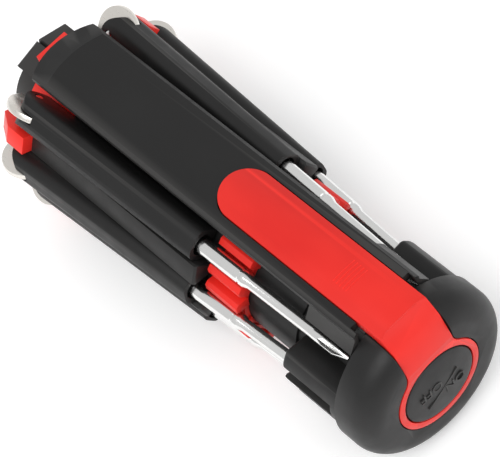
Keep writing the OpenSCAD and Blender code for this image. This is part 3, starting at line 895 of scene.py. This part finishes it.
class DRIVER_OT_drivers(bpy.types.Operator):
    """Models the handles and shafts of the eight drivers"""
    bl_idname = "driver.drivers"
    bl_label = "Drivers"

    def execute(self, context):
        handle = handle_pattern(context.scene.driver_sizes)
        cross = cross_shaft()
        for i in DRIVERS:
            folded = arm_place(i) @ Matrix.Rotation(-TILT, 4, "Y")
            grip = copy_of(handle, f"handle_{i}")
            grip.matrix_world = folded
            complete(grip, finishes()["black_moulding"], f"driver_{i}", "black_plastic", f"arm_handle_{i}")
            shaft = flat_shaft(i) if i in BLADE_WIDTHS else copy_of(cross, f"shaft_{i}")
            shaft.name = f"shaft_{i}"
            shaft.matrix_world = folded @ Matrix.Translation((0, 0, SHAFT_Z * MM))
            complete(shaft, finishes()["bright_shaft"], f"driver_{i}", "bright_steel", f"driver_shaft_{i}")
        discard(handle)
        discard(cross)
        return {"FINISHED"}


class DRIVER_OT_button(bpy.types.Operator):
    """Models the domed tail button with its plain switch marks"""
    bl_idname = "driver.button"
    bl_label = "Tail button"

    def execute(self, context):
        black = finishes()["black_moulding"]
        turns = [math.pi / 2 * k / DOME_STEPS for k in range(DOME_STEPS + 1)]
        dome = [(DOME_RISE - DOME_RISE * math.cos(a), (BUTTON_R - DOME_INSET) * a / turns[-1]) for a in turns]
        button = lathe("button", [
            *dome, (RIM_REAR, RIM_REAR_R), (RIM_FRONT, BUTTON_R),
            (FLANGE_REAR, BUTTON_R), (FLANGE_REAR, FLANGE_R), (FLANGE_FRONT, FLANGE_R),
            (FLANGE_FRONT, PLUNGER_R), (PLUNGER_FRONT, PLUNGER_R), (PLUNGER_FRONT, 0)], BUTTON_STEPS)
        button.matrix_world = Matrix.Translation((TAIL_X, 0, AXIS_Z))
        complete(button, black, "tail_button", "black_plastic", "tail_button")
        size = context.scene.driver_sizes.letter * MARK_SCALE
        marks = [switch_word(word, across, down, size) for word, across, down in MARKS]
        marks.append(switch_stroke())
        for mark in marks:
            take(mark)
            bpy.ops.object.transform_apply(location=True, rotation=True, scale=True)
        complete(joined(marks, "button_marks"), black, "tail_button", "black_plastic")
        return {"FINISHED"}


class DRIVER_OT_cells(bpy.types.Operator):
    """Models the three cells and the coil springs behind them"""
    bl_idname = "driver.cells"
    bl_label = "Cells and springs"

    def execute(self, context):
        pattern = cell_pattern()
        coils = []
        for k in CELLS:
            low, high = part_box(f"battery_cell_{k}")
            rear = Vector((low.x, (low.y + high.y) / 2, (low.z + high.z) / 2))
            cell = copy_of(pattern, f"cell_{k}")
            cell.matrix_world = Matrix.Translation(rear)
            if k == TURNED_CELL:
                front = Vector((high.x, rear.y, rear.z))
                cell.matrix_world = Matrix.Translation(front) @ Matrix.Rotation(math.pi, 4, "Z")
            complete(cell, finishes()["cell_jacket"], "tool_body", "cell_jacket", f"battery_cell_{k}")
            coils.append(contact_coil(rear - Vector((COIL_BEHIND * MM, 0, 0))))
        discard(pattern)
        springs = joined(coils, "coil_springs")
        bpy.ops.object.mode_set(mode="EDIT")
        face_outward()
        complete(springs, finishes()["bright_shaft"], "tool_body", "bright_steel", "contact_springs")
        return {"FINISHED"}


class DRIVER_OT_inside(bpy.types.Operator):
    """Softens the edges of the plates, pins, screws, contacts, switch and lamp pieces"""
    bl_idname = "driver.inside"
    bl_label = "Plates and inner pieces"

    def execute(self, context):
        looks = {
            "pale_nickel": "pale_plate", "bright_steel": "bright_shaft", "lamp_window": "clear_window",
            "lamp_bowl": "bright_bowl", "lamp_dome": "lamp_epoxy", "circuit_board": "green_board",
            "switch_case": "grey_case",
        }
        modelled = ("driver_shaft", "contact_springs")
        edge = context.scene.driver_sizes.plate_edge
        for part in frame["record"]["subparts"]:
            slot = part["material_slot"]
            node = part["node"]
            if slot in looks and not node.startswith(modelled):
                piece = soft_copy(node, f"{node}_piece", edge)
                complete(piece, finishes()[looks[slot]], "tool_body", slot, node)
        return {"FINISHED"}


class DRIVER_OT_stage(bpy.types.Operator):
    """Sets up the pale floor, the soft light and the camera"""
    bl_idname = "driver.stage"
    bl_label = "Stage"

    def execute(self, context):
        context.scene.view_settings.view_transform = "Standard"
        add_floor(context.scene)
        add_lights(context.scene)
        add_camera(context.scene)
        return {"FINISHED"}


class DRIVER_PT_panel(bpy.types.Panel):
    """Lists the modelling steps and the sizes and colours"""
    bl_idname = "DRIVER_PT_panel"
    bl_label = "Pocket screwdriver"
    bl_space_type = "VIEW_3D"
    bl_region_type = "UI"
    bl_category = "Screwdriver"

    def draw(self, context):
        for group in (context.scene.driver_sizes, context.scene.driver_colours):
            for name in group.__annotations__:
                self.layout.prop(group, name)
        for step in STEPS:
            self.layout.operator(step.bl_idname)


STEPS = (
    DRIVER_OT_core, DRIVER_OT_cover, DRIVER_OT_cap, DRIVER_OT_hub, DRIVER_OT_door, DRIVER_OT_drivers,
    DRIVER_OT_button, DRIVER_OT_cells, DRIVER_OT_inside, DRIVER_OT_stage,
)
CLASSES = (FinishColours, MouldingSizes, *STEPS, DRIVER_PT_panel)


def register():
    """Adds the classes and the settings to Blender."""
    for entry in CLASSES:
        bpy.utils.register_class(entry)
    bpy.types.Scene.driver_colours = PointerProperty(type=FinishColours)
    bpy.types.Scene.driver_sizes = PointerProperty(type=MouldingSizes)


def unregister():
    """Takes the settings and the classes out of Blender."""
    del bpy.types.Scene.driver_sizes
    del bpy.types.Scene.driver_colours
    for entry in reversed(CLASSES):
        bpy.utils.unregister_class(entry)


def main():
    """Registers the add-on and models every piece."""
    register()
    bpy.ops.driver.core()
    bpy.ops.driver.cover()
    bpy.ops.driver.cap()
    bpy.ops.driver.hub()
    bpy.ops.driver.door()
    bpy.ops.driver.drivers()
    bpy.ops.driver.button()
    bpy.ops.driver.cells()
    bpy.ops.driver.inside()
    bpy.ops.driver.stage()


if __name__ == "__main__":
    main()
